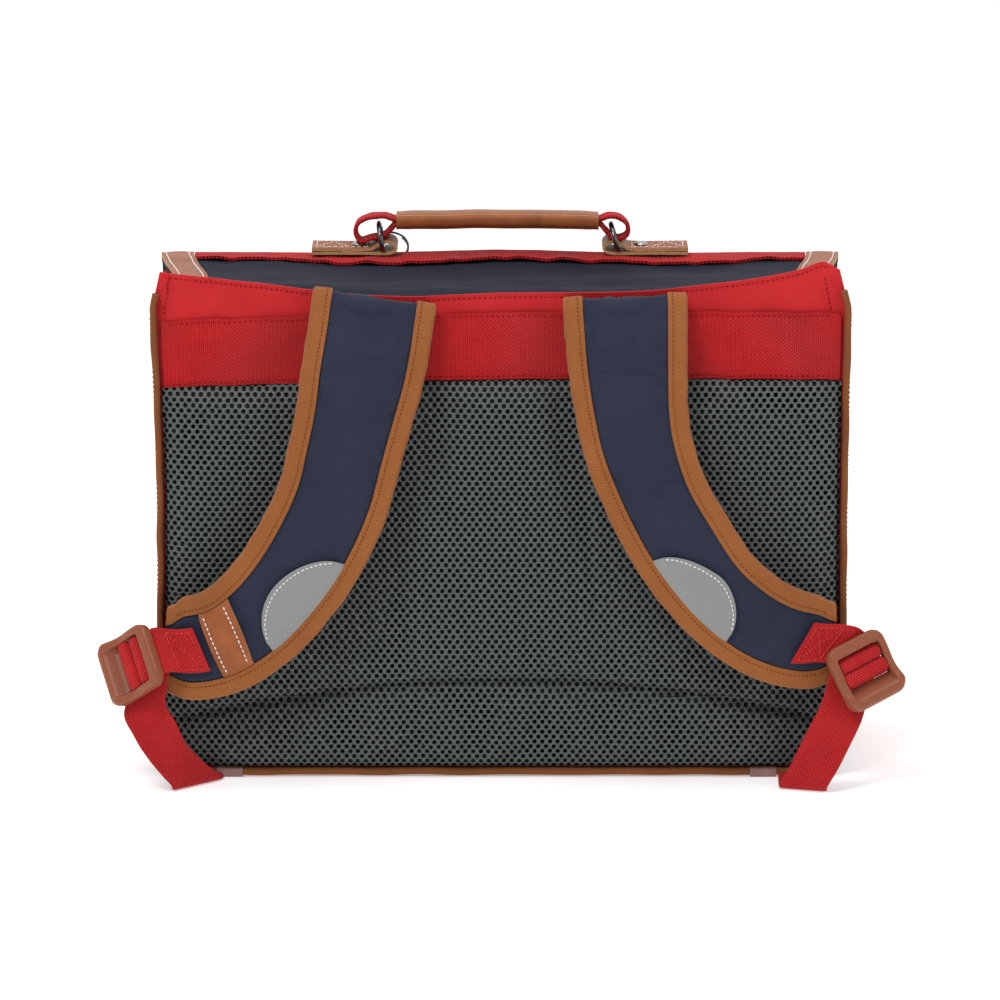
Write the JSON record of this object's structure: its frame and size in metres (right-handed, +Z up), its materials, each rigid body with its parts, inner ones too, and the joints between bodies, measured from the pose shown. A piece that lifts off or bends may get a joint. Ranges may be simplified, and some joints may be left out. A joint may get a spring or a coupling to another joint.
{
  "type": "school satchel",
  "caption": "School satchel worn on the back: red cloth box with a navy flap, grey mesh back pad, padded navy shoulder straps with buckles, and a leather top handle",
  "frame": {"origin": "Middle of the flat underside of the base, on the surface that the satchel stands on", "axes": "+Z up; -Y is the way that the back side faces, the side that lies on the wearer's back; +X to the right when looking at the back side"},
  "size_m": [0.4584, 0.2206, 0.3095],
  "materials": {
    "red_cloth": "woven nylon, matt",
    "red_webbing": "ribbed webbing, matt",
    "navy_cloth": "woven polyester, matt",
    "mesh": "knitted air mesh, matt",
    "tape": "ribbed binding tape, matt",
    "tan_leather": "smooth leather, satin",
    "black_cloth": "coarse woven cloth, matt",
    "reflective_film": "retro-reflective film, satin",
    "buckle_plastic": "moulded, satin",
    "dark_metal": "dark nickel plate, polished",
    "rivet_metal": "steel, satin",
    "clear_sleeve": "translucent tube"
  },
  "bodies": {
    "root": {"back_binding": "tape", "back_pad": "mesh", "back_panel": "red_cloth", "base_panel": "black_cloth", "binding_sleeve_left": "clear_sleeve", "binding_sleeve_right": "clear_sleeve", "buckle_left": "buckle_plastic", "buckle_right": "buckle_plastic", "d_ring_left": "dark_metal", "d_ring_right": "dark_metal", "flap": "navy_cloth", "flap_trim_left": "tan_leather", "flap_trim_right": "tan_leather", "flap_webbing": "red_webbing", "front_binding": "tape", "front_clasp_left": "buckle_plastic", "front_clasp_right": "buckle_plastic", "front_panel": "red_cloth", "handle_grip": "tan_leather", "handle_tab_left": "tan_leather", "handle_tab_right": "tan_leather", "handle_webbing": "red_webbing", "lower_strap_left": "red_webbing", "lower_strap_right": "red_webbing", "reflector_left": "reflective_film", "reflector_right": "reflective_film", "rivet_left": "rivet_metal", "rivet_right": "rivet_metal", "shoulder_strap_left": "navy_cloth", "shoulder_strap_right": "navy_cloth", "side_gusset_left": "red_cloth", "side_gusset_right": "red_cloth", "split_ring": "dark_metal", "strap_binding_left_inner": "tape", "strap_binding_left_outer": "tape", "strap_binding_right_inner": "tape", "strap_binding_right_outer": "tape", "strap_patch": "tan_leather", "strap_tab_left": "red_webbing", "strap_tab_right": "red_webbing", "upper_webbing": "red_webbing"}
  },
  "joints": []
}
